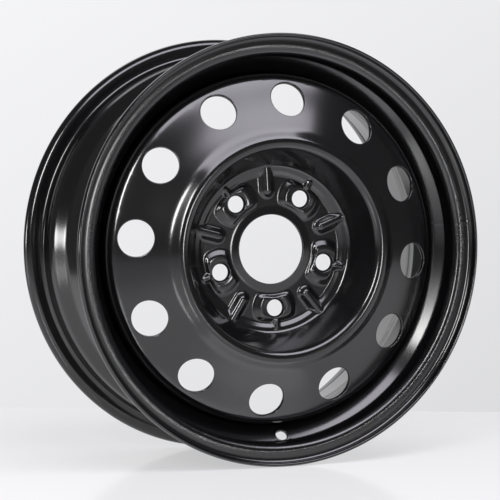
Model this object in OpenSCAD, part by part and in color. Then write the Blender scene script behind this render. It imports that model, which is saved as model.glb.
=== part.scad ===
/* [Rim] */
// Diameter of the bead seats, a nominal 15 inch rim
seat_d = 380.2; // [370:0.1:390]
// Width between the inner faces of the two flanges, a nominal 6 inches
rim_w = 152.4; // [145:0.1:165]
// Height of a flange above its bead seat
flange_h = 17.5; // [16:0.1:18.5]
// Tyre-side radius of the flange curl
curl_r = 7.5; // [7:0.1:8.5]
// How far a flange reaches outward from its inner face
lip_w = 11.5; // [10.5:0.1:12.5]
// Thickness of the rolled rim sheet
rim_t = 2.8; // [2.4:0.1:3.2]
// Corner radius between flange and bead seat
seat_corner_r = 4.5; // [4:0.1:6]
// Taper of the bead seats in degrees
seat_taper = 5; // [4:0.5:6]
// Distance of the safety hump from the flange face
hump_at = 18.5; // [18:0.5:21]
// Height of the safety hump above the tapered seat
hump_h = 1.8; // [1:0.1:2.2]
// Depth of the drop centre below the bead seat
well_depth = 17.3; // [16:0.1:19]
// Slope of the outboard side of the drop centre, in degrees from the axis
well_slope = 50; // [44:1:56]
// Length of the cylindrical floor of the drop centre
well_floor = 31; // [28:1:36]
// Depth of the inboard shelf below the bead seat
shelf_depth = 10.7; // [8:0.1:12]
// Distance of the inboard shelf from the inboard flange face
shelf_at = 42; // [39:0.5:45]
// Length of the sloping ledge between the inboard shelf and the inboard hump
ledge_l = 9; // [7:0.5:11]

/* [Valve] */
// Diameter of the valve hole
valve_d = 11.5; // [11.3:0.1:12.5]
// Angle of the valve hole round the wheel, seen from outboard
valve_angle = 273.75; // [268:0.25:280]
// How far the middle of the valve hole stands off the floor of the drop centre
valve_rise = 10.9; // [10:0.1:12]

/* [Disc] */
// Thickness of the pressed disc sheet
disc_t = 3.8; // [3.4:0.1:4.2]
// Offset from the middle of the rim to the hub face
inset = 47.5; // [44:0.5:50]
// Radius of the flat mounting plate
plate_r = 71.5; // [70:0.5:73]
// Height of the step round the mounting plate
step_h = 3; // [2:0.1:3.5]
// Width of the step round the mounting plate
step_w = 5; // [4:0.1:6]
// Radius of the crown, the outermost ring of the disc
crown_r = 101.3; // [99:0.1:103.5]
// How far the sharp crown corner stands outboard of the flange face
crown_out = 15.5; // [14:0.1:15.5]
// Bend radius of the crown
crown_bend = 8; // [7:0.5:10]
// Width of the steep fall from the crown to the vented slope
crown_fall = 14.2; // [12.5:0.1:16]
// Bend radius at the outer end of that fall
fall_bend = 24; // [16:1:30]
// Bend radius of the outer shoulder
shoulder_bend = 12; // [10:0.5:14]
// Bend radius at the foot of the inner wall
foot_bend = 7; // [5:0.5:9]
// How far the disc skirt reaches past the shoulder corner
skirt_l = 39; // [35:1:42]

/* [Vents] */
// Number of vent holes
vent_n = 12; // [10:2:12]
// Diameter of a vent hole
vent_d = 35; // [28:0.1:36.5]
// Radius of the circle on which the vents lie
vent_r = 145.2; // [142:0.1:147]
// Depth of the sheet at the vents, outboard of the middle of the rim
vent_out = 68.2; // [67:0.1:69.5]
// Slope of the disc at the vents in degrees
vent_slope = 23.5; // [22:0.5:26]
// Angle of the first vent round the wheel
vent_first = 175.16; // [170:0.01:180]
// Half the extra angle between the two vents of a pair
vent_pair = 0.44; // [0:0.01:1]

/* [Hub] */
// Diameter of the centre bore
bore_d = 67.1; // [60:0.1:70]
// Width of the collar round the bore, which leans outboard
collar_w = 7.5; // [6:0.5:8.5]
// How far the edge of the bore stands outboard of the mounting plate
collar_h = 2; // [1:0.1:3]
// Number of lug holes
lug_n = 5; // [4:1:5]
// Diameter of the circle of lug holes
lug_pcd = 114.3; // [110:0.1:118]
// Diameter of a lug hole
lug_d = 16; // [14:0.1:16.5]
// Angle of the first lug hole round the wheel
lug_first = 58; // [54:1:62]
// Height of the raised pad that carries a lug seat
pad_h = 3.2; // [2.5:0.1:3.6]
// Half the width of a pad across the wheel, at its foot
pad_foot_r = 23; // [21:0.5:24]
// Half the width of the flat top of a pad
pad_top_r = 14.5; // [13:0.5:16]
// Radius at which a pad rises from the plate round the bore
pad_from = 43.5; // [42.5:0.5:44.5]
// Radius at which a pad meets the plate again
pad_to = 71; // [70:0.5:72]
// Width of the sloping ends of a pad
pad_ramp = 4.5; // [4:0.5:5]
// Radius of the conical seat for a wheel nut, at its rim
seat_rim_r = 9.8; // [9:0.1:10.5]
// Half angle of the conical seat in degrees
seat_angle = 35; // [30:1:45]

/* [Ribs] */
// Width of a hub rib
rib_w = 13.6; // [12:0.1:15]
// Height of a hub rib above the mounting plate
rib_h = 5; // [4:0.1:6]
// Radius at which a hub rib begins
rib_from = 57; // [54:0.5:60]
// Radius at which a hub rib runs out into the wall
rib_to = 79; // [77:0.5:82]
// Width of the small ridge outboard of each lug seat
ridge_w = 8.4; // [7.5:0.1:9]
// Height of the small ridge above the mounting plate
ridge_h = 4.4; // [3.8:0.1:5]
// Radius at which a small ridge begins
ridge_from = 70; // [69:0.5:71]
// Radius at which a small ridge runs out
ridge_to = 76; // [75:0.5:78]

/* [Weld] */
// Number of weld beads that join the disc to the rim
bead_n = 8; // [8:1:8]
// Leg of a weld bead
bead_leg = 4; // [3:0.1:5]
// Length of a weld bead round the wheel, in degrees
bead_arc = 18; // [12:1:24]

/* [Hidden] */
$fn = 96;
paint = [0.10, 0.10, 0.105];

// Rim lines, all measured on the tyre side of the sheet
seat_r = seat_d / 2;
face_y = rim_w / 2;
curl_c = seat_r + flange_h - curl_r;
lip_turn = asin((lip_w - curl_r) / curl_r);
seat_run = hump_at - 6;
seat_end_r = seat_r - seat_run * tan(seat_taper);
hump_r = seat_r - hump_at * tan(seat_taper) + hump_h;
hump_top = 4;
well_r = seat_r - well_depth;
well_y = -face_y + hump_at + hump_top + (hump_r - well_r) / tan(well_slope);
shelf_r = seat_r - shelf_depth;
shelf_y = face_y - shelf_at;
ledge_y = face_y - hump_at - ledge_l;
ledge_drop = 2;
ledge_r = hump_r - ledge_drop;

// Disc lines, all measured on the outboard side of the sheet
hub_y = -inset;
plate_y = hub_y - disc_t;
skirt_r = well_r - rim_t;
step_r = plate_r + step_w;
foot_run = 4.5;
foot_fall = 0.9;
foot_r = step_r + foot_run;
shoulder_y = -vent_out + (skirt_r - vent_r) * tan(vent_slope);
brow_r = crown_r + crown_fall;
brow_y = -vent_out + (brow_r - vent_r) * tan(vent_slope);
crown_y = -face_y - crown_out;
skirt_y = shoulder_y + skirt_l;
bore_r = bore_d / 2;
overlap = 3;
pitch_r = lug_pcd / 2;
through = 60;

// How far the hollow side of a pad's slopes lies inside their outboard side
pad_in = 0.4 * disc_t;

disc_line = [
    [bore_r - overlap, plate_y - collar_h * (1 + overlap / collar_w), 0],
    [bore_r + collar_w, plate_y, 9],
    [plate_r, plate_y, 4],
    [step_r, plate_y - step_h, 5],
    [foot_r, plate_y - step_h - foot_fall, foot_bend],
    [crown_r, crown_y, crown_bend],
    [brow_r, brow_y, fall_bend],
    [skirt_r, shoulder_y, shoulder_bend],
    [skirt_r, skirt_y, 0]
];

rim_line = [
    [curl_c, -face_y, 0],
    [seat_r, -face_y, seat_corner_r],
    [seat_end_r, -face_y + seat_run, 12],
    [hump_r, -face_y + hump_at, 5],
    [hump_r, -face_y + hump_at + hump_top, 5],
    [well_r, well_y, 8],
    [well_r, well_y + well_floor, 60],
    [shelf_r, shelf_y, 9],
    [ledge_r, ledge_y, 7],
    [hump_r, face_y - hump_at, 8],
    [seat_end_r, face_y - seat_run, 12],
    [seat_r, face_y, seat_corner_r],
    [curl_c, face_y, 0]
];

function unit(v) = v / norm(v);
function left_of(v) = [-v[1], v[0]];
function flat(v) = [v[0], v[1]];

// Points of an arc about centre c, from angle a to angle b
function arc(c, r, a, b, n) = [for (i = [0:n]) c + r * [cos(a + (b - a) * i / n), sin(a + (b - a) * i / n)]];

// Points of the round of radius r that replaces the corner at b
function round_corner(a, b, c, r) =
    let (u = unit(a - b), v = unit(c - b), half = acos(u * v) / 2, turn = 180 - 2 * half,
         centre = b + unit(u + v) * r / sin(half), s = unit(b + u * r / tan(half) - centre),
         e = unit(b + v * r / tan(half) - centre), n = max(2, ceil(turn / 9)))
    [for (i = [0:n]) centre + r * (sin(turn * (1 - i / n)) * s + sin(turn * i / n) * e) / sin(turn)];

// A path with each corner rounded by the radius in its third number
function rounded(p) = [for (i = [0:len(p) - 1])
    each (p[i][2] == 0 ? [flat(p[i])] : round_corner(flat(p[i - 1]), flat(p[i]), flat(p[i + 1]), p[i][2]))];

// The same path moved by t to its left, kept parallel at every corner
function beside(p, t) = [for (i = [0:len(p) - 1])
    let (d = unit(p[max(1, i)] - p[max(1, i) - 1]), e = unit(p[min(i + 1, len(p) - 1)] - p[min(i + 1, len(p) - 1) - 1]),
         m = unit(left_of(d) + left_of(e)))
    p[i] + m * t / (m * left_of(d))];

function reversed(p) = [for (i = [len(p) - 1:-1:0]) p[i]];

// Turns a shape round the wheel to angle a, seen from outboard
module at_angle(a) rotate([0, -a, 0]) children();

// Stands a shape's z axis in the plane of the axle, a degrees from the radius
module leaning(a) rotate([0, 0, a]) rotate([0, 90, 0]) children();

// Revolves an outline of radius and axial place about the axle
module revolved() rotate([-90, 0, 0]) rotate_extrude() children();

// A sheet of thickness t whose tyre side or outboard side is the path
module sheet(path, t) revolved() polygon(concat(path, reversed(beside(path, t))));

// A round bar along the radius with ball ends, standing h out of the plate
module bar(w, h, from_r, to_r, lift) {
    translate([0, plate_y + w / 2 - h, 0]) {
        translate([from_r, 0, 0]) leaning(0) cylinder(d = w - lift, h = to_r - from_r);
        translate([from_r, 0, 0]) sphere(d = w - lift);
        translate([to_r, 0, 0]) sphere(d = w - lift);
    }
}

// The hollow under a bar, open to the hub side
module bar_hollow(w, h, from_r, to_r) {
    gap = w - 2 * disc_t;
    bar(w, h, from_r, to_r, 2 * disc_t);
    translate([from_r, plate_y + w / 2 - h, -gap / 2]) cube([to_r - from_r, w, gap]);
}

// One side of a raised pad: a ridge round the wheel cut to a low cone about the lug hole
module pad(foot_y, grow) {
    base = 1;
    per = (pad_foot_r - pad_top_r) / pad_h;
    intersection() {
        translate([pitch_r, foot_y + base, 0]) leaning(-90)
            cylinder(r1 = pad_foot_r + grow + per * base, r2 = pad_top_r + grow, h = pad_h + base);
        revolved() polygon([
            [pad_from - grow, foot_y + base], [pad_from - grow, foot_y],
            [pad_from + pad_ramp - grow, foot_y - pad_h], [pad_to - pad_ramp + grow, foot_y - pad_h],
            [pad_to + grow, foot_y], [pad_to + grow, foot_y + base]
        ]);
    }
}

// The cone and the hole that a wheel nut needs
module lug_cut() {
    cone_h = (seat_rim_r - lug_d / 2) / tan(seat_angle);
    clear = 1;
    translate([pitch_r, hub_y + clear, 0]) leaning(-90) cylinder(d = lug_d, h = disc_t + pad_h + 2 * clear);
    translate([pitch_r, plate_y - pad_h + cone_h, 0]) leaning(-90)
        cylinder(r1 = lug_d / 2, r2 = seat_rim_r + clear * tan(seat_angle), h = cone_h + clear);
}

module vent_cut(k) {
    at_angle(vent_first - k * 360 / vent_n + (k % 2 == 0 ? -vent_pair : vent_pair))
        translate([vent_r, -vent_out, 0]) leaning(vent_slope - 90)
            translate([0, 0, -through / 4]) cylinder(d = vent_d, h = through / 2);
}

// All that lies on the hub side of the middle of the disc sheet
module behind() {
    middle = beside(rounded(disc_line), disc_t / 2);
    last = middle[len(middle) - 1];
    revolved() polygon(concat(middle, [[last[0], 0], [middle[0][0], 0]]));
}

module disc_pressing() {
    difference() {
        union() {
            sheet(rounded(disc_line), disc_t);
            for (i = [0:lug_n - 1]) at_angle(lug_first - i * 360 / lug_n) pad(plate_y, 0);
            difference() {
                for (i = [0:lug_n - 1]) {
                    at_angle(lug_first - (i + 0.5) * 360 / lug_n) bar(rib_w, rib_h, rib_from, rib_to, 0);
                    at_angle(lug_first - i * 360 / lug_n) bar(ridge_w, ridge_h, ridge_from, ridge_to, 0);
                }
                behind();
            }
        }
        for (i = [0:lug_n - 1]) {
            at_angle(lug_first - (i + 0.5) * 360 / lug_n) bar_hollow(rib_w, rib_h, rib_from, rib_to);
            at_angle(lug_first - i * 360 / lug_n) {
                pad(hub_y, -pad_in);
                lug_cut();
            }
        }
        for (k = [0:vent_n - 1]) vent_cut(k);
        translate([0, hub_y - through / 2, 0]) leaning(90) cylinder(r = bore_r, h = through);
    }
}

module disc() {
    color(paint) disc_pressing();
}

module rim() {
    lip = arc([curl_c, -face_y - curl_r], curl_r, -lip_turn, 90, 12);
    path = concat(lip, rounded(rim_line), reversed([for (q = lip) [q[0], -q[1]]]));
    clean = [for (i = [0:len(path) - 1]) if (i == 0 || norm(path[i] - path[max(0, i - 1)]) > 0.001) path[i]];
    slope_r = well_r + valve_rise;
    slope_y = well_y - (slope_r - well_r) / tan(well_slope);
    color(paint) difference() {
        sheet(clean, rim_t);
        at_angle(valve_angle) translate([slope_r, slope_y, 0]) leaning(well_slope)
            translate([0, 0, -through / 4]) cylinder(d = valve_d, h = through / 2);
    }
}

// One fillet of weld in the corner between the disc skirt and the rim
module weld_bead(i) {
    turn = 360 / bead_n;
    color(paint) at_angle(i * turn + turn / 2 + bead_arc / 2) rotate([-90, 0, 0])
        rotate_extrude(angle = bead_arc) polygon([
            [skirt_r, skirt_y], [skirt_r, skirt_y + bead_leg],
            [skirt_r - 0.45 * bead_leg, skirt_y + 0.8 * bead_leg],
            [skirt_r - 0.8 * bead_leg, skirt_y + 0.45 * bead_leg], [skirt_r - bead_leg + 0.4, skirt_y]
        ]);
}

rim();
disc();
weld_bead(0);  // weld_bead_01
weld_bead(1);  // weld_bead_02
weld_bead(2);  // weld_bead_03
weld_bead(3);  // weld_bead_04
weld_bead(4);  // weld_bead_05
weld_bead(5);  // weld_bead_06
weld_bead(6);  // weld_bead_07
weld_bead(7);  // weld_bead_08
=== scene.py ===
import math

import bpy
import numpy as np
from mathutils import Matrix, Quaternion, Vector


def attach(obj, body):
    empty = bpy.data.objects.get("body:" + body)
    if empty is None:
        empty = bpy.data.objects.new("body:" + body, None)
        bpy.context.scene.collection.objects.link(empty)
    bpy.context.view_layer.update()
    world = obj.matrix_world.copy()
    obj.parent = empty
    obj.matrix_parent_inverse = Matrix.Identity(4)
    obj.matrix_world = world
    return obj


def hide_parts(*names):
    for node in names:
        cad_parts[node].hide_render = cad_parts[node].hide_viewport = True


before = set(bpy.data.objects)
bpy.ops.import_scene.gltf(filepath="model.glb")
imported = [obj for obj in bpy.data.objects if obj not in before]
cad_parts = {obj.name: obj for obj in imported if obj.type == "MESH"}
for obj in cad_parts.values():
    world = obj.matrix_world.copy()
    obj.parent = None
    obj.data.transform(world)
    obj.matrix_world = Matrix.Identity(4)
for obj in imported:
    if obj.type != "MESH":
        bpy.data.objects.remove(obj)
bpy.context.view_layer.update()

print("frame loaded:", ", ".join(sorted(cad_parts)))

mm = 0.001

# Rim: one rolled sheet. Lengths in millimetres, measured on the tyre side
rimSheet = {
    "seatRadius": 190.1,
    "flangeHeight": 17.5,
    "faceY": 76.2,
    "curlRadius": 7.5,
    "lipWidth": 11.5,
    "thickness": 2.8,
    "seatCorner": 4.5,
    "seatTaper": 5.0,
    "humpAt": 18.5,
    "humpHeight": 1.8,
    "humpTop": 4.0,
    "wellDepth": 17.3,
    "wellSlope": 50.0,
    "wellFloor": 31.0,
    "shelfDepth": 10.7,
    "shelfAt": 42.0,
    "ledgeLength": 9.0,
    "ledgeDrop": 2.0,
    "lipExtra": 3.8,
    "lipRound": 1.1,
    "lipSteps": 38,
    "around": 500,
    "rows": 92,
    "bendWeight": 9.0,
    "fineReach": 10.0,
}

# Valve hole in the outboard slope of the drop centre. For every hole, reach and across are half the height
# and width of the block that is cut from the grid, and rings are (how round, radius) from the block inwards.
valve = {
    "radius": 5.75,
    "angle": 273.75,
    "rise": 10.9,
    "edge": 0.5,
    "reach": 8.5,
    "across": 9.0,
    "rings": [(0.4, 7.2), (0.8, 6.8), (1, 6.5)],
}

# Disc: one pressed sheet. Lengths in millimetres, measured on the outboard side
discSheet = {
    "thickness": 3.8,
    "plateY": -51.3,
    "boreRadius": 33.55,
    "collarWidth": 7.5,
    "collarHeight": 2.0,
    "plateRadius": 71.5,
    "stepHeight": 3.0,
    "stepWidth": 5.0,
    "footRun": 4.5,
    "footFall": 0.9,
    "crownRadius": 101.3,
    "crownY": -91.7,
    "crownBend": 8.0,
    "crownFall": 14.2,
    "fallBend": 24.0,
    "skirtRadius": 170.0,
    "shoulderBend": 12.0,
    "skirtLength": 39.0,
    "sag": 0.35,
    "sagAt": 138.0,
    "sagReach": 24.0,
    "edge": 0.7,
    "edgeRun": 3.0,
    "around": 400,
    "rowRadii": (44, 82, 97, 118, 163),
    "rowSteps": (7, 40, 10, 17, 17, 8, 3),
    "lastRun": 30.0,
    "lastBulge": 0.5,
}

# Vents: six pairs of round holes in the slope of the disc
vent = {
    "circle": 145.2,
    "y": -68.2,
    "slope": 23.5,
    "radius": 17.5,
    "first": 175.16,
    "pair": 0.44,
    "count": 12,
    "edge": 0.8,
    "reach": 20.0,
    "across": 21.0,
    "rings": [(0.3, 19.2), (0.6, 19.0), (0.85, 18.8), (1, 18.5)],
}

# Hub: what is pressed into the mounting plate of the disc, in millimetres
hub = {
    "lugCircle": 57.15,
    "lugFirst": 58.0,
    "lugCount": 5,
    "lugHole": 8.0,
    "lugEdge": 0.35,
    "lugReach": 13.0,
    "lugAcross": 13.5,
    "lugRings": [(0.3, 13.0), (0.6, 12.4), (0.85, 11.9)]
                + [(1, radius) for radius in (11.3, 10.7, 10.2, 9.8, 9.4, 9.0, 8.7)],
    "backRings": [(1, 9.4), (1, 10.6), (0.8, 11.8), (0.4, 12.6)],
    "seatRim": 9.8,
    "seatAngle": 35.0,
    "padHeight": 3.2,
    "padFoot": 23.5,
    "padTop": 15.0,
    "padFrom": 43.5,
    "padTo": 71.0,
    "padRamp": 4.5,
    "ribWidth": 13.6,
    "ribHeight": 5.0,
    "ribFrom": 57.0,
    "ribTo": 79.0,
    "ridgeWidth": 8.4,
    "ridgeHeight": 4.4,
    "ridgeFrom": 70.0,
    "ridgeTo": 76.0,
    "seatSoft": 0.25,
    "seatRun": 2.0,
    "backRun": 2.5,
    "footSoft": 1.6,
    "footRun": 1.5,
    "fadeFrom": 84.0,
    "fadeTo": 92.0,
}


def unit(v):
    return v / np.linalg.norm(v, axis=-1, keepdims=True)


def smooth(a, b, x):  # 0 below a, 1 above b, an S curve between
    t = np.clip((x - a) / (b - a), 0.0, 1.0)
    return t * t * (3 - 2 * t)


def ramp(a, b, x, soft=0.25):  # 0 below a, 1 above b, a straight slope between with rounded ends
    t = np.clip((x - a) / (b - a), 0.0, 1.0)
    foot, top = t * t / (2 * soft * (1 - soft)), 1 - (1 - t) ** 2 / (2 * soft * (1 - soft))
    return np.where(t < soft, foot, np.where(t > 1 - soft, top, (t - soft / 2) / (1 - soft)))


def arcPoints(centre, radius, start, end, count):  # centre plus radius times (cos, sin) of even angles
    a = np.radians(np.linspace(start, end, count))
    return np.stack([centre[0] + radius * np.cos(a), centre[1] + radius * np.sin(a)], -1)


def roundCorner(a, b, c, radius):  # the arc of this radius that touches ab and bc
    u, v = unit(a - b), unit(c - b)
    half = math.acos(float(u @ v)) / 2
    turn = math.pi - 2 * half
    centre = b + unit(u + v) * radius / math.sin(half)
    s = unit(b + u * radius / math.tan(half) - centre)
    e = unit(b + v * radius / math.tan(half) - centre)
    t = np.linspace(0, 1, max(4, int(math.degrees(turn) / 3) + 2))[:, None]
    return centre + radius * (np.sin(turn * (1 - t)) * s + np.sin(turn * t) * e) / math.sin(turn)


def roundedPath(corners):  # corners are (radius from the axle, y, round)
    p = np.array(corners, float)
    parts = []
    for i, turn in enumerate(p[:, 2]):
        around = (p[i - 1, :2], p[i, :2], p[(i + 1) % len(p), :2])
        parts.append(p[i:i + 1, :2] if turn == 0 else roundCorner(*around, turn))
    return np.concatenate(parts)


class Path:  # a line in the plane of radius and y, read by its length from the start
    def __init__(self, points):
        keep = np.r_[True, np.linalg.norm(np.diff(points, axis=0), axis=1) > 1e-5]
        self.points = points[keep]
        steps = np.linalg.norm(np.diff(self.points, axis=0), axis=1)
        self.length = np.r_[0, np.cumsum(steps)]
        d = unit(np.diff(self.points, axis=0))
        self.middle = (self.length[1:] + self.length[:-1]) / 2
        self.turned = np.stack([-d[:, 1], d[:, 0]], -1)

    def at(self, s):
        return np.stack([np.interp(s, self.length, self.points[:, k]) for k in (0, 1)], -1)

    def left(self, s):
        return unit(np.stack([np.interp(s, self.middle, self.turned[:, k]) for k in (0, 1)], -1))

    def where(self, radius, low=0.0, high=math.inf):
        # The length at which one rising or falling stretch has a radius
        part = (self.length >= low) & (self.length <= high)
        r, s = self.points[part, 0], self.length[part]
        return np.interp(radius, r, s) if r[-1] > r[0] else np.interp(radius, r[::-1], s[::-1])


def spun(r, y, angle):  # radius, y and angle seen from outboard to a place in the frame, metres
    return np.stack([r * np.cos(angle), y + 0 * angle, r * np.sin(angle)], -1) * mm


def newPiece(name, points, faces, nodes, slot, material):
    mesh = bpy.data.meshes.new(name)
    quads = np.asarray(faces, np.int32)
    mesh.vertices.add(len(points))
    mesh.vertices.foreach_set("co", np.ascontiguousarray(points, np.float32).ravel())
    mesh.loops.add(quads.size)
    mesh.loops.foreach_set("vertex_index", quads.ravel())
    mesh.polygons.add(len(quads))
    mesh.polygons.foreach_set("loop_start", np.arange(0, quads.size, 4, dtype=np.int32))
    mesh.polygons.foreach_set("use_smooth", np.full(len(quads), True))
    mesh.update(calc_edges=True)
    mesh.validate()
    piece = bpy.data.objects.new(name, mesh)
    bpy.context.scene.collection.objects.link(piece)
    mesh.materials.append(material)
    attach(piece, "root")
    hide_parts(*nodes)
    print(name, "made:", len(points), "points,", len(quads), "quads")
    return piece


def quadsBetween(a, b):  # two closed loops of indices to the ring of quads between them
    return np.stack([a, np.roll(a, -1), np.roll(b, -1), b], -1)


def blockLoop(i0, i1, j0, j1, columns):  # rows and columns of the vertices round a block, in order
    top = [(i0, j) for j in range(j0, j1)]
    right = [(i, j1) for i in range(i0, i1)]
    bottom = [(i1, j) for j in range(j1, j0, -1)]
    left = [(i, j0) for i in range(i1, i0, -1)]
    loop = np.array(top + right + bottom + left)
    loop[:, 1] %= columns
    return loop


def sheetMesh(sheet, holes):
    # A sheet with two sides: point(length, angle, side) gives its grid, and each hole swaps a block of cells
    # for rings that run from the block's edge to the round rim of the hole, through it and out to the
    # same block on the other side.
    rows, columns = len(sheet["rows"]), sheet["columns"]
    grid = np.arange(rows * columns).reshape(rows, columns)
    row, column = np.mgrid[0:rows, 0:columns]
    angle = column * 2 * math.pi / columns
    points = [sheet["point"](sheet["rows"][row], angle, side).reshape(-1, 3) for side in (0, 1)]
    keep = np.ones((rows - 1, columns), bool)
    for hole in holes:
        i0, i1, j0, j1 = hole["block"]
        keep[i0:i1, np.arange(j0, j1) % columns] = False
    after = np.roll(grid, -1, axis=1)
    cells = np.stack([grid[:-1], grid[1:], after[1:], after[:-1]], -1)[keep]
    offset = rows * columns
    faces = [cells, cells[:, ::-1] + offset]
    count = 2 * offset
    for hole in holes:
        loop = blockLoop(*hole["block"], columns)
        first = grid[loop[:, 0], loop[:, 1]]
        rings = hole["rings"](loop)
        points.append(rings.reshape(-1, 3))
        last = first
        for k in range(len(rings)):
            ring = count + k * len(loop) + np.arange(len(loop))
            faces.append(quadsBetween(last, ring)[:, ::-1])
            last = ring
        faces.append(quadsBetween(last, first + offset)[:, ::-1])
        count += rings.shape[0] * rings.shape[1]
    return np.concatenate(points), np.concatenate(faces), grid, offset, count


def ringDirections(a, b):  # evenly turned angles that start where the block's loop starts, and go its way
    start = math.atan2(b[0], a[0])
    steps = np.hypot(np.diff(np.r_[a, a[0]]), np.diff(np.r_[b, b[0]]))
    turned = np.unwrap(np.arctan2(b, a))
    share = np.r_[0, np.cumsum(steps)[:-1]] / steps.sum()
    return (turned + start + np.sign(turned[-1] - turned[0]) * 2 * math.pi * share) / 2


def ringHole(sheet, where, centreRadius, centreAngle, reach, across, sizes):
    # A round hole square to the sheet. Its rings are circles of the given sizes in the sheet's own slope,
    # each blended from the block's outline, on side 0 first and then on side 1. A place on a ring is told by
    # its distance outward from the hole's centre and its distance along the tangent.
    rows, columns, path = sheet["rows"], sheet["columns"], sheet["path"]
    s0 = float(where(centreRadius))
    across0, along0 = path.left(s0)
    lean = abs(along0)
    through = np.array([across0 * math.cos(centreAngle), along0, across0 * math.sin(centreAngle)]) * mm
    i0, i1 = int(np.searchsorted(rows, s0 - reach)) - 1, int(np.searchsorted(rows, s0 + reach))
    step = 2 * math.pi / columns
    j0 = math.floor((centreAngle - across / centreRadius) / step)
    j1 = math.ceil((centreAngle + across / centreRadius) / step)

    def rings(loop):
        r = path.at(rows[loop[:, 0]])[:, 0]
        turn = (loop[:, 1] * step - centreAngle + math.pi) % (2 * math.pi) - math.pi
        a, b = r * np.cos(turn) - centreRadius, r * np.sin(turn)
        way = ringDirections(a / lean, b)
        made = []
        for side, blend, size, sink in sizes:
            out = centreRadius + a + (size * lean * np.cos(way) - a) * blend
            aside = b + (size * np.sin(way) - b) * blend
            place = sheet["point"](where(np.hypot(out, aside)), centreAngle + np.arctan2(aside, out), side)
            made.append(place + sink * through)
        return np.stack(made)

    return {"block": (i0, i1, j0, j1), "rings": rings}


def roundedRim(size, edge, outer, inner, steps=4):
    # Rings, as (side, how round, radius, sink), through a rounded edge, the wall, and a rounded edge on the
    # other side: a quarter circle has size + edge * (1 - sin t) and sinks by edge * (1 - cos t)
    turn = [math.radians(t) for t in np.linspace(0, 90, steps)]
    front = [(0, 1, size + edge * (1 - math.sin(t)), edge * (1 - math.cos(t))) for t in turn]
    back = [(1, 1, size + edge * (1 - math.sin(t)), -edge * (1 - math.cos(t))) for t in reversed(turn)]
    first = [(0, blend, wide, 0) for blend, wide in outer]
    last = [(1, blend, wide, 0) for blend, wide in inner]
    return first + front + back + last


def endRings(sheet, s, out, bulge, steps=7):
    # Rings that round a sheet's free edge, from side 0 to 1 along half an ellipse that stands out by bulge
    columns = sheet["columns"]
    angle = np.arange(columns) * 2 * math.pi / columns
    near, far = (sheet["point"](np.full(columns, s), angle, side) for side in (0, 1))
    n = sheet["path"].left(s) * out * bulge
    ahead = spun(n[1], -n[0], angle)
    turn = np.linspace(0, math.pi, steps)[1:-1]
    return np.stack([near + (far - near) * (1 - math.cos(t)) / 2 + ahead * math.sin(t) for t in turn])


def closedSheet(sheet, holes):
    # The whole sheet: both sides, its holes, and its two free edges
    rows, columns = sheet["rows"], sheet["columns"]
    points, faces, grid, offset, count = sheetMesh(sheet, holes)
    points, faces = [points], [faces]
    for line, s, out, bulge in zip((grid[0], grid[-1]), (rows[0], rows[-1]), (-1, 1), sheet["bulges"]):
        last = line
        if bulge:
            rings = endRings(sheet, s, out, bulge)
            points.append(rings.reshape(-1, 3))
            for k in range(len(rings)):
                ring = count + np.arange(columns)
                faces.append(quadsBetween(last, ring)[:, ::-out])
                last, count = ring, count + columns
        faces.append(quadsBetween(last, line + offset)[:, ::-out])
    return np.concatenate(points), np.concatenate(faces)


# The disc's outboard line, and the relief pressed into its plate
ventTan = math.tan(math.radians(vent["slope"]))
shoulderY = vent["y"] + (discSheet["skirtRadius"] - vent["circle"]) * ventTan
browRadius = discSheet["crownRadius"] + discSheet["crownFall"]
stepRadius = discSheet["plateRadius"] + discSheet["stepWidth"]
stepY = discSheet["plateY"] - discSheet["stepHeight"]
discPath = Path(roundedPath([
    (discSheet["boreRadius"], discSheet["plateY"] - discSheet["collarHeight"], 0),
    (discSheet["boreRadius"] + discSheet["collarWidth"], discSheet["plateY"], 9),
    (discSheet["plateRadius"], discSheet["plateY"], 4),
    (stepRadius, stepY, 5),
    (stepRadius + discSheet["footRun"], stepY - discSheet["footFall"], 7),
    (discSheet["crownRadius"], discSheet["crownY"], discSheet["crownBend"]),
    (browRadius, vent["y"] + (browRadius - vent["circle"]) * ventTan, discSheet["fallBend"]),
    (discSheet["skirtRadius"], shoulderY, discSheet["shoulderBend"]),
    (discSheet["skirtRadius"], shoulderY + discSheet["skirtLength"], 0),
]))


def reliefHeight(r, angle):
    # Height of the hub relief in millimetres. A pad is a product of ramps, across the band between its two
    # radii and away from its lug hole. A rib or ridge is an S curve of the distance from its centre line.
    # A nut seat is a soft minimum of that height and a cone, -soft * log(exp(-a / soft) + exp(-b / soft)).
    pitch = 2 * math.pi / hub["lugCount"]
    first = math.radians(hub["lugFirst"])
    turn = (angle - first + pitch / 2) % pitch - pitch / 2
    away = np.hypot(r * np.cos(turn) - hub["lugCircle"], r * np.sin(turn))
    band = ramp(hub["padFrom"], hub["padFrom"] + hub["padRamp"], r)
    band = band * ramp(hub["padTo"], hub["padTo"] - hub["padRamp"], r)
    high = hub["padHeight"] * band * ramp(hub["padFoot"], hub["padTop"], away)
    for start, width, height, begin, end in (
        (first + pitch / 2, hub["ribWidth"], hub["ribHeight"], hub["ribFrom"], hub["ribTo"]),
        (first, hub["ridgeWidth"], hub["ridgeHeight"], hub["ridgeFrom"], hub["ridgeTo"]),
    ):
        turn = (angle - start + pitch / 2) % pitch - pitch / 2
        along, across = r * np.cos(turn), r * np.sin(turn)
        beside = np.hypot(along - np.clip(along, begin, end), across) / (width / 2)
        high = np.maximum(high, height * smooth(1.25, 0.2, beside))
    cone = hub["padHeight"] - np.maximum(hub["seatRim"] - away, 0) / math.tan(math.radians(hub["seatAngle"]))
    soft = hub["seatSoft"]
    seat = -soft * np.logaddexp(-high / soft, -cone / soft)
    high = np.where(away < hub["seatRim"] + hub["seatRun"], seat, high)
    return high * smooth(hub["fadeTo"], hub["fadeFrom"], r)


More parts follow.
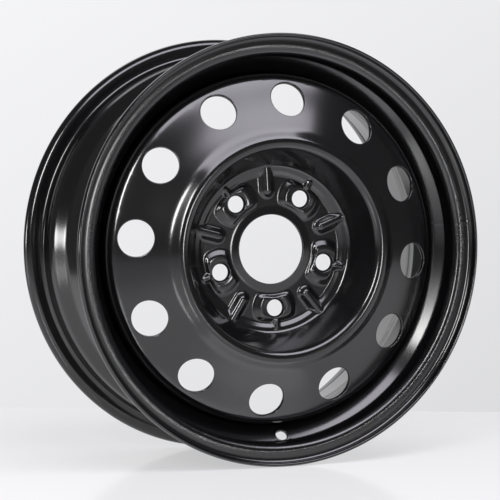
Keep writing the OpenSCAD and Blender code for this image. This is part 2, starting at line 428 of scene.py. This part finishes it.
def hubBack(r, angle):  # the hub side follows the relief, without the nut seats
    pitch = 2 * math.pi / hub["lugCount"]
    turn = (angle - math.radians(hub["lugFirst"]) + pitch / 2) % pitch - pitch / 2
    away = np.hypot(r * np.cos(turn) - hub["lugCircle"], r * np.sin(turn))
    return np.where(away < hub["seatRim"] + hub["backRun"], hub["padHeight"], reliefHeight(r, angle))


def discPoint(s, angle, side):
    # Side 0 is outboard and 1 the hub side. The relief stands on the flat plate, so where the sheet itself
    # has risen only the rest of it shows, with a soft change. The vented slope sags by sag times the square
    # of 1 - u * u, and both edges of the bore are quarter circles.
    p, n = discPath.at(s), discPath.left(s)
    lineR, lineY = p[..., 0], p[..., 1]
    bore = discSheet["boreRadius"]
    r = lineR + side * discSheet["thickness"] * n[..., 0] * smooth(bore, bore + discSheet["edgeRun"], lineR)
    y = lineY + side * discSheet["thickness"] * n[..., 1]
    u = np.clip((lineR - discSheet["sagAt"]) / discSheet["sagReach"], -1, 1)
    y = y + discSheet["sag"] * (1 - u * u) ** 2
    risen = np.where(lineR > hub["lugCircle"], np.clip(discSheet["plateY"] - lineY, 0, None), 0)
    rest = (hubBack if side else reliefHeight)(lineR, angle) - risen
    blend = hub["footSoft"] * smooth(0, hub["footRun"], risen) + 1e-6
    soft = np.clip(blend - np.abs(rest), 0, None) ** 2 / (4 * blend)
    relief = np.maximum(rest, 0) + soft * (rest > -risen)
    gone = np.clip(discSheet["edge"] - s, 0, None)
    drop = (1 - 2 * side) * (discSheet["edge"] - np.sqrt(discSheet["edge"] ** 2 - gone * gone))
    return spun(r, y - relief + drop, angle)


def stations(*spans):  # row places: each span is (start, end, how many steps)
    return np.concatenate([np.linspace(a, b, n, endpoint=False) for a, b, n in spans] + [[spans[-1][1]]])


end = float(discPath.length[-1])
places = [discSheet["edge"], *(float(discPath.where(radius)) for radius in discSheet["rowRadii"]),
          end - discSheet["lastRun"], end - discSheet["lastBulge"]]
edgeRows = discSheet["edge"] * (1 - np.cos(np.radians([0, 22, 45, 68])))
disc = {
    "path": discPath,
    "columns": discSheet["around"],
    "point": discPoint,
    "bulges": (0, discSheet["lastBulge"]),
    "rows": np.concatenate([edgeRows, stations(*zip(places[:-1], places[1:], discSheet["rowSteps"]))]),
}

discHoles = []
for k in range(hub["lugCount"]):
    angle = math.radians(hub["lugFirst"] + 360 / hub["lugCount"] * k)
    rings = roundedRim(hub["lugHole"], hub["lugEdge"], hub["lugRings"], hub["backRings"])
    discHoles.append(ringHole(disc, discPath.where, hub["lugCircle"], angle, hub["lugReach"],
                              hub["lugAcross"], rings))
for k in range(vent["count"]):
    aside = -vent["pair"] if k % 2 == 0 else vent["pair"]
    angle = math.radians(vent["first"] - 360 / vent["count"] * k + aside)
    rings = roundedRim(vent["radius"], vent["edge"], vent["rings"], vent["rings"][::-1])
    discHoles.append(ringHole(disc, discPath.where, vent["circle"], angle, vent["reach"],
                              vent["across"], rings))


class Node:  # wraps a shader socket so that sums and products of sockets add Math nodes
    tree = None

    def __init__(self, socket):
        self.socket = socket

    @classmethod
    def make(cls, kind, settings=None, stops=None, out=0, **inputs):
        # An input called in0, in1 and so on goes by its number, and any other by its name
        node = cls.tree.nodes.new("ShaderNode" + kind)
        for name, value in (settings or {}).items():
            setattr(node, name, value)
        if stops:
            elements = node.color_ramp.elements
            while len(elements) < len(stops):
                elements.new(1.0)
            for element, (place, grey) in zip(elements, stops):
                element.position, element.color = place, (grey, grey, grey, 1)
        for name, value in inputs.items():
            key = int(name[2:]) if name.startswith("in") else name.replace("_", " ")
            socket = node.inputs[key]
            if isinstance(value, Node):
                cls.tree.links.new(value.socket, socket)
            else:
                socket.default_value = value
        return None if out is None else Node(node.outputs[out])

    def maths(self, operation, other=0.0):
        return Node.make("Math", {"operation": operation}, in0=self, in1=other)

    def between(self, low, high):  # black below low, white above high
        return Node.make("ValToRGB", None, [(0.0, 0.0), (low, 0.0), (high, 1.0)], in0=self)

    def __add__(self, other):
        return self.maths("ADD", other)

    def __radd__(self, other):
        return self.maths("ADD", other)

    def __sub__(self, other):
        return self.maths("SUBTRACT", other)

    def __rsub__(self, other):
        return Node.make("Math", {"operation": "SUBTRACT"}, in0=other, in1=self)

    def __mul__(self, other):
        return self.maths("MULTIPLY", other)

    def __rmul__(self, other):
        return self.maths("MULTIPLY", other)

    def __truediv__(self, other):
        return self.maths("DIVIDE", other)


def noise(place, scale, detail=2.0, rough=0.5):
    return Node.make("TexNoise", Vector=place, Scale=scale, Detail=detail, Roughness=rough)


# Gloss black paint with a slow wave, fine orange peel, and dust specks where dust has settled
blackPaint = {
    "black": (0.0032, 0.0032, 0.0036, 1),
    "dust": (0.12, 0.12, 0.125, 1),
    "roughness": 0.155,
    "ior": 1.75,
    "waveScale": 22.0,
    "wave": 0.22,
    "waveRough": 0.03,
    "peelScale": 420.0,
    "peel": 0.016,
    "speckScale": 1500.0,
    "specks": (0.755, 0.79),
    "settledScale": 30.0,
    "settled": (0.52, 0.70),
    "speckShade": 0.5,
    "speckRough": 0.25,
    "bump": 0.0002,
}

# Marks of the rolls and the butt weld on the rim, in metres and degrees
rollMarks = {
    "inner": 0.1885,
    "outer": 0.1965,
    "back": -0.070,
    "depth": 1.1,
    "count": 200.0,
    "stretch": 60.0,
    "seamAngle": 7.0,
    "seamWidth": 0.0022,
    "seam": 0.45,
}


def knurl(place):
    # Fine radial marks on the face of the outboard flange: noise stretched along the radius, and the flat
    # line of the butt weld that closes the rolled rim
    x, y, z = (Node.make("SeparateXYZ", out=part, Vector=place) for part in range(3))
    radius = (x * x + z * z).maths("SQRT")
    angle = Node.make("Math", {"operation": "ARCTAN2"}, in0=z, in1=x)
    line = Node.make("CombineXYZ", X=angle * rollMarks["count"], Y=radius * rollMarks["stretch"], Z=0.0)
    marks = noise(line, 1.0, 3.0, 0.6)
    beyond = radius.maths("GREATER_THAN", rollMarks["outer"])
    band = radius.maths("GREATER_THAN", rollMarks["inner"]) * (1 - beyond)
    face = y.maths("LESS_THAN", rollMarks["back"])
    off = (angle - math.radians(rollMarks["seamAngle"])).maths("ABSOLUTE") * radius / rollMarks["seamWidth"]
    seam = (1 - off).maths("MAXIMUM", 0.0)
    return marks * band * face * rollMarks["depth"] + seam * rollMarks["seam"]


def paintMaterial(name, relief=None):
    m = bpy.data.materials.new(name)
    m.use_nodes = True
    tree = m.node_tree
    tree.nodes.clear()
    Node.tree = tree
    place = Node.make("TexCoord", out=3)
    peel = noise(place, blackPaint["peelScale"])
    wave = noise(place, blackPaint["waveScale"], 1.0)
    specks = noise(place, blackPaint["speckScale"], 1.0).between(*blackPaint["specks"])
    dusty = specks * noise(place, blackPaint["settledScale"]).between(*blackPaint["settled"])
    colour = Node.make("Mix", {"data_type": "RGBA"}, out=2, in0=dusty * blackPaint["speckShade"],
                       in6=blackPaint["black"], in7=blackPaint["dust"])
    uneven = (wave - 0.5) * blackPaint["waveRough"] + dusty * blackPaint["speckRough"]
    height = peel * blackPaint["peel"] + wave * blackPaint["wave"]
    if relief:
        height = height + relief(place)
    bump = Node.make("Bump", Strength=1.0, Distance=blackPaint["bump"], Height=height)
    shader = Node.make("BsdfPrincipled", Base_Color=colour, Roughness=uneven + blackPaint["roughness"],
                       Normal=bump, IOR=blackPaint["ior"])
    Node.make("OutputMaterial", Surface=shader, out=None)
    return m


rimPaint = paintMaterial("rimPaint", knurl)
discPaint = paintMaterial("discPaint")
beadPaint = paintMaterial("beadPaint")

newPiece("discPressing", *closedSheet(disc, discHoles), ["disc"], "disc_paint", discPaint)

# The rim's line, from the outboard lip over the tyre side to the inboard lip. Corners are (radius, y, round)
seatSlope = math.tan(math.radians(rimSheet["seatTaper"]))
humpRadius = rimSheet["seatRadius"] - rimSheet["humpAt"] * seatSlope + rimSheet["humpHeight"]
curlCentre = rimSheet["seatRadius"] + rimSheet["flangeHeight"] - rimSheet["curlRadius"]
wellRadius = rimSheet["seatRadius"] - rimSheet["wellDepth"]
seatRun = rimSheet["humpAt"] - 6
seatEnd = rimSheet["seatRadius"] - seatRun * seatSlope
humpY = rimSheet["faceY"] - rimSheet["humpAt"]
wellRun = (humpRadius - wellRadius) / math.tan(math.radians(rimSheet["wellSlope"]))
wellY = -humpY + rimSheet["humpTop"] + wellRun
lipTurn = math.degrees(math.asin((rimSheet["lipWidth"] - rimSheet["curlRadius"]) / rimSheet["curlRadius"]))
lip = arcPoints((curlCentre, -rimSheet["faceY"] - rimSheet["curlRadius"]), rimSheet["curlRadius"],
                -lipTurn - rimSheet["lipExtra"], 90, rimSheet["lipSteps"])
rimPath = Path(np.concatenate([lip, roundedPath([
    (curlCentre, -rimSheet["faceY"], 0),
    (rimSheet["seatRadius"], -rimSheet["faceY"], rimSheet["seatCorner"]),
    (seatEnd, -rimSheet["faceY"] + seatRun, 12),
    (humpRadius, -humpY, 5),
    (humpRadius, -humpY + rimSheet["humpTop"], 5),
    (wellRadius, wellY, 8),
    (wellRadius, wellY + rimSheet["wellFloor"], 60),
    (rimSheet["seatRadius"] - rimSheet["shelfDepth"], rimSheet["faceY"] - rimSheet["shelfAt"], 9),
    (humpRadius - rimSheet["ledgeDrop"], humpY - rimSheet["ledgeLength"], 7),
    (humpRadius, humpY, 8),
    (seatEnd, rimSheet["faceY"] - seatRun, 12),
    (rimSheet["seatRadius"], rimSheet["faceY"], rimSheet["seatCorner"]),
    (curlCentre, rimSheet["faceY"], 0),
]), (lip * [1, -1])[::-1]]))


def rimPoint(s, angle, side):  # side 0 is the tyre side, 1 the air side
    p = rimPath.at(s) + side * rimSheet["thickness"] * rimPath.left(s)
    return spun(p[..., 0], p[..., 1], angle)


def evenRows(path, start, end, count, bendWeight, fine, closer=2.2, samples=6000):
    # Row places that lie closer where the line bends, and in the fine stretch: equal steps of the length
    # plus a weight times the angle turned
    s = np.linspace(start, end, samples)
    n = path.left(s)
    turned = np.abs(np.diff(np.unwrap(np.arctan2(n[:, 1], n[:, 0]))))
    middle = (s[1:] + s[:-1]) / 2
    density = np.diff(s) * np.where((middle > fine[0]) & (middle < fine[1]), closer, 1) + bendWeight * turned
    return np.interp(np.linspace(0, density.sum(), count), np.r_[0, np.cumsum(density)], s)


valveRadius = wellRadius + valve["rise"]
slopeTop, slopeEnd = (float(rimPath.length[np.argmin(np.linalg.norm(rimPath.points - corner, axis=1))])
                      for corner in ((humpRadius, -humpY + rimSheet["humpTop"]), (wellRadius, wellY)))
sValve = float(rimPath.where(valveRadius, slopeTop, slopeEnd))
lipRound = rimSheet["lipRound"]
fine = (sValve - rimSheet["fineReach"], sValve + rimSheet["fineReach"])
rim = {
    "path": rimPath,
    "columns": rimSheet["around"],
    "point": rimPoint,
    "bulges": (lipRound, lipRound),
    "rows": evenRows(rimPath, lipRound, float(rimPath.length[-1]) - lipRound, rimSheet["rows"],
                     rimSheet["bendWeight"], fine),
}
valveRings = roundedRim(valve["radius"], valve["edge"], valve["rings"], valve["rings"][::-1])
rimHoles = [ringHole(rim, lambda radius: rimPath.where(radius, slopeTop, slopeEnd), valveRadius,
                     math.radians(valve["angle"]), valve["reach"], valve["across"], valveRings)]
newPiece("rimSheet", *closedSheet(rim, rimHoles), ["rim"], "rim_paint", rimPaint)

for name in sorted(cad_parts):
    if name.startswith("weld_bead"):
        node = bpy.data.objects[name]
        for slot in node.material_slots:
            slot.material = beadPaint
print("weld beads painted")

# Table and backdrop, in metres. The camera and glossy rays see the pale tones, and the table keeps part of
# its shading. The table's far edge is cut aslant, because that line shows in the photograph.
studio = {
    "tableZ": -0.2076,
    "tableCorners": ((-3, -4), (3, -4), (3, -1.1), (-3, 2.0)),
    "table": (0.90, 0.90, 0.91, 1),
    "tableTone": 0.62,
    "tableGloss": 0.13,
    "sheenRough": 0.12,
    "wallY": 3.2,
    "wallX": (-1.02, 5.0),
    "wallZ": (-2.0, 4.0),
    "wall": (0.86, 0.86, 0.875, 1),
    "world": (0.98, 0.98, 1.0, 1),
    "worldSeen": 0.85,
    "worldGloss": 0.10,
    "worldLight": 0.35,
}


def seenRays():
    cameraRay, glossyRay, clearRay = (Node.make("LightPath", out=name) for name in (
        "Is Camera Ray", "Is Glossy Ray", "Is Transmission Ray"))
    return (cameraRay + glossyRay + clearRay).maths("MINIMUM", 1.0)


def stageMaterial(name, tone, glow, share, gloss=0.0):
    # A diffuse sheet that shows a share of plain tone to the camera and in reflections, with a little gloss
    m = bpy.data.materials.new(name)
    m.use_nodes = True
    m.node_tree.nodes.clear()
    Node.tree = m.node_tree
    lit = Node.make("BsdfDiffuse", Color=tone)
    plain = Node.make("Emission", Color=tone, Strength=glow(Node.make("TexCoord", out=3)))
    sheen = Node.make("BsdfAnisotropic", Color=(1, 1, 1, 1), Roughness=studio["sheenRough"])
    matt = Node.make("MixShader", in0=seenRays() * share, in1=lit, in2=plain)
    Node.make("OutputMaterial", Surface=Node.make("MixShader", in0=gloss, in1=matt, in2=sheen), out=None)
    return m


def flatSheet(name, corners, material):
    mesh = bpy.data.meshes.new(name)
    mesh.from_pydata(corners, [], [(0, 1, 2, 3)])
    mesh.materials.append(material)
    piece = bpy.data.objects.new(name, mesh)
    bpy.context.scene.collection.objects.link(piece)


def wallGlowPaintedLight(place):  # painted light: lighter towards the top and the left
    x, z = (Node.make("SeparateXYZ", out=k, Vector=place) for k in (0, 2))
    return z * 0.122 - x * 0.073 + 1.058


def tableGlowPaintedShade(place):  # painted shade: dims towards its far edge, to the right, and in the dark of the room in front
    x, y = (Node.make("SeparateXYZ", out=k, Vector=place) for k in (0, 1))
    away = x * 0.46 + y * 0.888
    back, front = (Node.make("MapRange", {"interpolation_type": "SMOOTHSTEP"}, Value=away, From_Min=start,
                             From_Max=end, To_Min=0.0, To_Max=loss)
                   for start, end, loss in ((0.10, 0.40, 0.03), (-0.45, -1.25, 0.97)))
    return (1.0 - back) * (1.0 - front) * (1.05 - x * 0.16)


# The table's glow is painted shade, dimmer towards its far edge, the right and the front
flatSheet("table", [(x, y, studio["tableZ"]) for x, y in studio["tableCorners"]],
          stageMaterial("tablePaper", studio["table"], tableGlowPaintedShade, studio["tableTone"], studio["tableGloss"]))
(left, right), (low, high) = studio["wallX"], studio["wallZ"]
wallCorners = ((left, low), (right, low), (right, high), (left, high))
# The backdrop's glow is painted light, lighter towards the top and the left
flatSheet("backdrop", [(x, studio["wallY"], z) for x, z in wallCorners],
          stageMaterial("wallPaper", studio["wall"], wallGlowPaintedLight, 1.0))

world = bpy.data.worlds.new("studio")
bpy.context.scene.world = world
world.use_nodes = True
world.node_tree.nodes.clear()
Node.tree = world.node_tree
cameraRay, glossyRay = (Node.make("LightPath", out=name) for name in ("Is Camera Ray", "Is Glossy Ray"))
otherRay = (1 - cameraRay - glossyRay).maths("MAXIMUM", 0.0)
seen = cameraRay * studio["worldSeen"] + glossyRay * studio["worldGloss"]
strength = seen + otherRay * studio["worldLight"]
Node.make("OutputWorld", Surface=Node.make("Background", Color=studio["world"], Strength=strength), out=None)
print("table, backdrop and world made")

# Lamps that face the wheel, in degrees and metres. Azimuth is from the wheel's outboard side towards +X, and
# roll turns a lamp about its own direction.
white, lavender = (1.0, 1.0, 1.0), (0.93, 0.90, 1.0)
lamps = [
    {"name": "highBox", "azimuth": 8, "elevation": 55, "roll": 8, "distance": 2.5, "size": (2.7, 1.15),
     "radiance": 4.8, "tint": lavender, "shape": "RECTANGLE"},
    {"name": "leftStrip", "azimuth": -41, "elevation": 20, "roll": 0, "distance": 2.3, "size": (0.3, 1.15),
     "radiance": 17.0, "tint": white, "shape": "ELLIPSE"},
    {"name": "farLeft", "azimuth": -103, "elevation": 2, "roll": 0, "distance": 2.3, "size": (0.35, 0.35),
     "radiance": 12.0, "tint": white, "shape": "ELLIPSE"},
    {"name": "rightLow", "azimuth": 10, "elevation": 1, "roll": 0, "distance": 2.0, "size": (0.3, 0.3),
     "radiance": 12.0, "tint": white, "shape": "ELLIPSE"},
]


def addLamp(box):
    lamp = bpy.data.lights.new(box["name"], "AREA")
    lamp.shape = box["shape"]
    lamp.size, lamp.size_y = box["size"]
    lamp.energy = box["radiance"] * math.pi * box["size"][0] * box["size"][1]
    lamp.color = box["tint"]
    a, e = math.radians(box["azimuth"]), math.radians(box["elevation"])
    way = Vector((math.sin(a) * math.cos(e), -math.cos(a) * math.cos(e), math.sin(e)))
    holder = bpy.data.objects.new(box["name"], lamp)
    holder.location = way * box["distance"]
    turned = (-way).to_track_quat("-Z", "Y") @ Quaternion((0, 0, 1), math.radians(box["roll"]))
    holder.rotation_euler = turned.to_euler()
    bpy.context.scene.collection.objects.link(holder)


for box in lamps:
    addLamp(box)
print("lamps made:", len(lamps))

# The photograph's camera, fitted to the circles of the wheel
photo = {
    "place": (-0.8854, -2.1326, 0.1031),
    "way": (0.382876, 0.922641, -0.045936),
    "lens": 168.29,
    "sensor": 36,
}
camera = bpy.data.cameras.new("camera")
camera.lens, camera.sensor_width = photo["lens"], photo["sensor"]
holder = bpy.data.objects.new("camera", camera)
holder.location = photo["place"]
holder.rotation_euler = Vector(photo["way"]).to_track_quat("-Z", "Y").to_euler()
bpy.context.scene.collection.objects.link(holder)
bpy.context.scene.camera = holder
bpy.context.scene.view_settings.view_transform = "Standard"

print("done")
